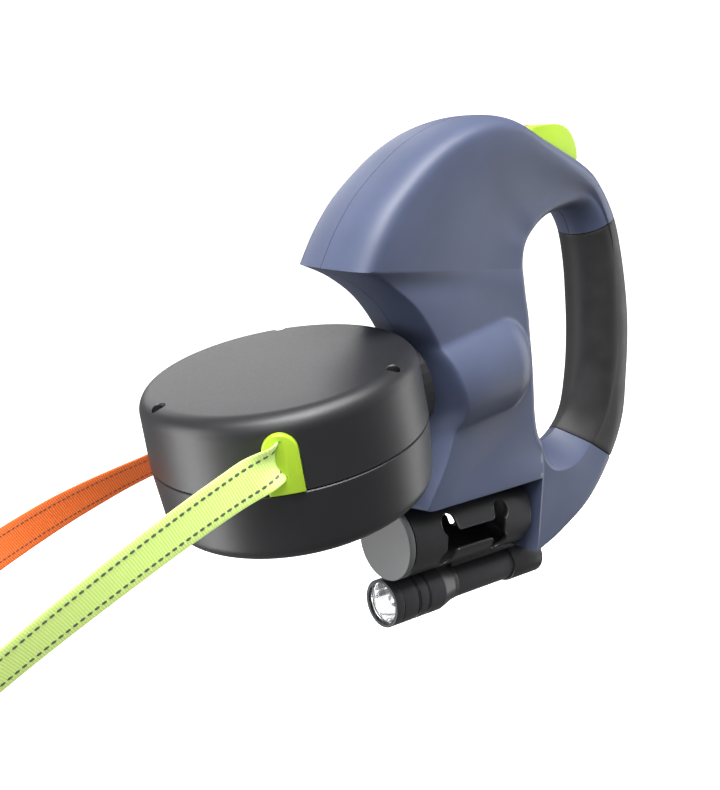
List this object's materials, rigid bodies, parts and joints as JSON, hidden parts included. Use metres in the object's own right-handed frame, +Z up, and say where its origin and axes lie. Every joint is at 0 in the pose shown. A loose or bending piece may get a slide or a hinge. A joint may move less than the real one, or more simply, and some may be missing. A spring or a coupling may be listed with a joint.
{
  "type": "retractable leash",
  "caption": "Retractable dog leash with a swivelling drum paying out green and orange webbing, C-shaped handle with thumb brakes, waste-bag tube and small torch.",
  "frame": {"origin": "middle of the hand grip, on the handle's middle plane", "axes": "+X from the drum back to the hand, along the swivel axis; +Z up, along the spool axle; +Y to the right hand of someone looking along +X from the front, across the handle"},
  "size_m": [0.4209, 0.1642, 0.2317],
  "materials": {
    "navy_plastic": "fine matte moulded texture",
    "black_plastic": "fine satin moulded texture",
    "grip_rubber": "soft-touch matte",
    "green_plastic": "semi-gloss moulded",
    "orange_plastic": "semi-gloss moulded",
    "green_webbing": "ribbed woven nylon with two reflective stitch lines",
    "orange_webbing": "ribbed woven nylon with two stitch lines",
    "grey_plastic": "smooth satin",
    "torch_aluminium": "black anodised",
    "clear_lens": "clear",
    "reflector_chrome": "mirror",
    "steel": "bright",
    "zinc_chrome": "polished plating",
    "white_nylon": "natural nylon",
    "brass": "turned",
    "board_white": "white board"
  },
  "bodies": {
    "handle": {"handle_shell_left": "navy_plastic", "handle_shell_right": "navy_plastic", "grip_sleeve": "grip_rubber", "handle_screw_1": "steel", "handle_screw_2": "steel", "handle_screw_3": "steel", "handle_screw_4": "steel", "handle_screw_5": "steel", "swivel_housing": "black_plastic", "swivel_bush_front": "white_nylon", "swivel_bush_rear": "white_nylon", "lever_pin": "steel", "green_button_spring": "steel", "orange_button_spring": "steel", "bag_tube": "black_plastic", "torch_holder": "black_plastic"},
    "head": {"drum_upper_case": "black_plastic", "drum_lower_case": "black_plastic", "drum_screw_1": "steel", "drum_screw_2": "steel", "drum_screw_3": "steel", "swivel_shaft": "black_plastic", "swivel_snap_ring": "steel", "thrust_washer": "steel", "spool_axle": "steel", "spool_divider": "black_plastic", "green_outlet": "green_plastic", "orange_outlet": "orange_plastic", "green_power_spring": "steel", "orange_power_spring": "steel", "green_strap": "green_webbing", "green_hook_eye": "zinc_chrome", "orange_strap": "orange_webbing", "orange_hook_eye": "zinc_chrome"},
    "bag_tube_cap": {"bag_tube_cap": "grey_plastic"},
    "torch": {"torch_bezel": "torch_aluminium", "torch_lens": "clear_lens", "torch_reflector": "reflector_chrome", "torch_led_board": "board_white", "torch_head": "torch_aluminium", "torch_battery": "steel", "torch_body": "torch_aluminium", "torch_tail_cap": "torch_aluminium"},
    "torch_switch": {"torch_switch": "grip_rubber"},
    "green_spool": {"green_spool": "white_nylon", "green_wound_webbing": "green_webbing"},
    "green_button": {"green_button": "green_plastic"},
    "green_lever": {"green_lever": "white_nylon"},
    "green_push_rod": {"green_push_rod": "steel"},
    "green_brake_shoe": {"green_brake_shoe": "white_nylon"},
    "green_hook": {"green_hook_body": "zinc_chrome"},
    "green_hook_bolt": {"green_hook_bolt": "zinc_chrome"},
    "orange_spool": {"orange_spool": "white_nylon", "orange_wound_webbing": "orange_webbing"},
    "orange_button": {"orange_button": "orange_plastic"},
    "orange_lever": {"orange_lever": "white_nylon"},
    "orange_push_tube": {"orange_push_tube": "brass"},
    "orange_brake_shoe": {"orange_brake_shoe": "white_nylon"},
    "orange_hook": {"orange_hook_body": "zinc_chrome"},
    "orange_hook_bolt": {"orange_hook_bolt": "zinc_chrome"}
  },
  "joints": [
    {"name": "head_swivel", "type": "hinge", "parent": "handle", "child": "head", "pos_m": [-0.1925, 0, 0.002], "axis": [1, 0, 0], "continuous": true},
    {"name": "bag_tube_cap_pull", "type": "slide", "parent": "handle", "child": "bag_tube_cap", "axis": [-0.9744, 0, 0.225], "range_m": [0, 0.01]},
    {"name": "torch_slide", "type": "slide", "parent": "handle", "child": "torch", "axis": [-0.9744, 0, 0.225], "range_m": [0, 0.014]},
    {"name": "torch_switch_press", "type": "slide", "parent": "torch", "child": "torch_switch", "axis": [-0.9744, 0, 0.225], "range_m": [0, 0.0012], "stiffness_N_per_m": 600},
    {"name": "green_spool_spin", "type": "hinge", "parent": "head", "child": "green_spool", "pos_m": [-0.1925, 0, 0.002], "axis": [0, 0, 1], "continuous": true},
    {"name": "green_button_press", "type": "slide", "parent": "handle", "child": "green_button", "axis": [-0.4936, 0, -0.8697], "range_m": [0, 0.0025], "stiffness_N_per_m": 600, "springref_m": -0.0005, "deforming": ["green_button_spring"]},
    {"name": "green_lever_turn", "type": "hinge", "parent": "handle", "child": "green_lever", "pos_m": [-0.0825, 0, 0.042], "axis": [0, 1, 0], "range_deg": [0, 6]},
    {"name": "green_push_rod_slide", "type": "slide", "parent": "handle", "child": "green_push_rod", "axis": [-1, 0, 0], "range_m": [0, 0.004]},
    {"name": "green_brake_shoe_slide", "type": "slide", "parent": "head", "child": "green_brake_shoe", "axis": [-1, 0, 0], "range_m": [0, 0.004]},
    {"name": "green_hook_swivel", "type": "hinge", "parent": "head", "child": "green_hook", "pos_m": [-0.36967, -0.01935, -0.04082], "axis": [-0.8944, 0.1591, -0.4179], "continuous": true},
    {"name": "green_hook_bolt_slide", "type": "slide", "parent": "green_hook", "child": "green_hook_bolt", "axis": [0.8944, -0.1591, 0.4179], "range_m": [0, 0.006], "stiffness_N_per_m": 150, "springref_m": -0.002},
    {"name": "orange_spool_spin", "type": "hinge", "parent": "head", "child": "orange_spool", "pos_m": [-0.1925, 0, 0.002], "axis": [0, 0, 1], "continuous": true},
    {"name": "orange_button_press", "type": "slide", "parent": "handle", "child": "orange_button", "axis": [-0.4936, 0, -0.8697], "range_m": [0, 0.0025], "stiffness_N_per_m": 600, "springref_m": -0.0005, "deforming": ["orange_button_spring"]},
    {"name": "orange_lever_turn", "type": "hinge", "parent": "handle", "child": "orange_lever", "pos_m": [-0.0825, 0, 0.042], "axis": [0, 1, 0], "range_deg": [0, 6]},
    {"name": "orange_push_tube_slide", "type": "slide", "parent": "handle", "child": "orange_push_tube", "axis": [-1, 0, 0], "range_m": [0, 0.004]},
    {"name": "orange_brake_shoe_slide", "type": "slide", "parent": "head", "child": "orange_brake_shoe", "axis": [-1, 0, 0], "range_m": [0, 0.004]},
    {"name": "orange_hook_swivel", "type": "hinge", "parent": "head", "child": "orange_hook", "pos_m": [-0.33416, 0.09337, -0.05188], "axis": [-0.847, 0.3107, -0.4313], "continuous": true},
    {"name": "orange_hook_bolt_slide", "type": "slide", "parent": "orange_hook", "child": "orange_hook_bolt", "axis": [0.847, -0.3107, 0.4313], "range_m": [0, 0.006], "stiffness_N_per_m": 150, "springref_m": -0.002}
  ],
  "couplings": [
    {"joint": "green_lever_turn", "follows": "green_button_press", "rad_per_m": 40},
    {"joint": "green_push_rod_slide", "follows": "green_button_press", "ratio": 1.6},
    {"joint": "green_brake_shoe_slide", "follows": "green_button_press", "ratio": 1.6},
    {"joint": "orange_lever_turn", "follows": "orange_button_press", "rad_per_m": 40},
    {"joint": "orange_push_tube_slide", "follows": "orange_button_press", "ratio": 1.6},
    {"joint": "orange_brake_shoe_slide", "follows": "orange_button_press", "ratio": 1.6}
  ]
}
